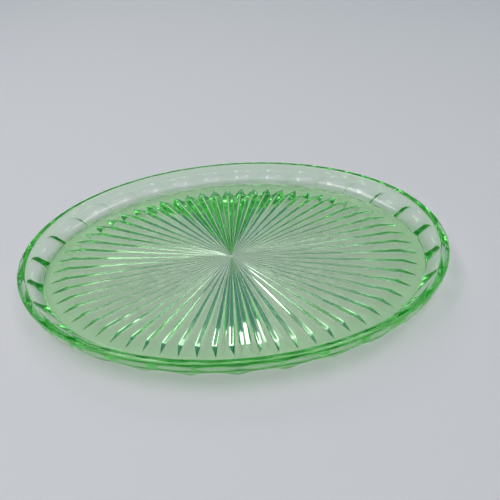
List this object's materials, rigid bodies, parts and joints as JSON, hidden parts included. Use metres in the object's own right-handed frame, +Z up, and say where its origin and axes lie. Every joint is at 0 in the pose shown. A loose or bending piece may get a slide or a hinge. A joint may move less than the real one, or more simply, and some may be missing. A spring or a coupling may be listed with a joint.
{
  "type": "glass serving dish",
  "caption": "Oval pressed-glass tray with a shallow flared wall, rounded lip, thumb-scooped outside and a sunburst of radial flutes under the floor, for holding small items.",
  "frame": {"origin": "centre of the oval, on the plane that the foot rests on", "axes": "+Z up through the open side of the dish, +X along the long axis of the oval"},
  "size_m": [0.305, 0.222, 0.0218],
  "materials": {
    "uranium_glass": "clear polished green glass"
  },
  "bodies": {
    "root": {"glass_dish": "uranium_glass"}
  },
  "joints": []
}
